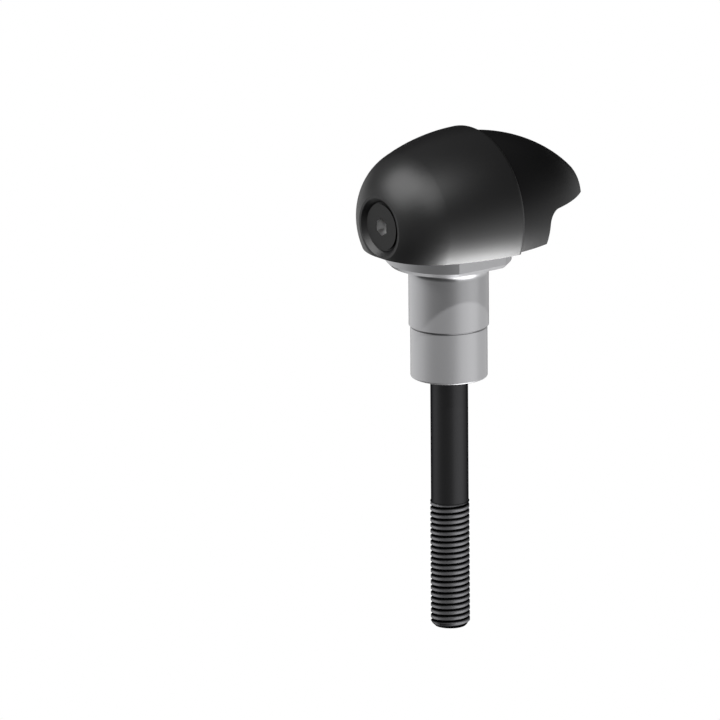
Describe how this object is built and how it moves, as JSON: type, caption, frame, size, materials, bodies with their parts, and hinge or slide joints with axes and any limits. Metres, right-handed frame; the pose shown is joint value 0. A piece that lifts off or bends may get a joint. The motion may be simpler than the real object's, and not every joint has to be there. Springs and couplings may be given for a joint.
{
  "type": "motorcycle frame slider",
  "caption": "Motorcycle frame slider: an egg-shaped plastic crash pad on an aluminium foot with a spacer and a long mounting bolt.",
  "frame": {"origin": "centre of the face of the spacer that seats on the motorcycle's frame, on the mounting bolt's axis", "axes": "+Z along the bolt, away from the motorcycle and up to the pad; -X towards the pad's nose; +X towards its tail; +Y completes the right-handed frame across the pad"},
  "size_m": [0.0592, 0.043, 0.1303],
  "materials": {
    "dome_plastic": "satin",
    "tail_plastic": "satin",
    "foot_aluminium": "fine turned, satin",
    "spacer_aluminium": "fine turned, satin",
    "bolt_steel": "black oxide",
    "screw_steel": "dark zinc, satin",
    "insert_brass": "machined"
  },
  "bodies": {
    "root": {"front_dome": "dome_plastic", "tail_cap": "tail_plastic", "flange_foot": "foot_aluminium", "seat_spacer": "spacer_aluminium", "mount_bolt": "bolt_steel", "nose_screw": "screw_steel", "tail_insert": "insert_brass"}
  },
  "joints": []
}
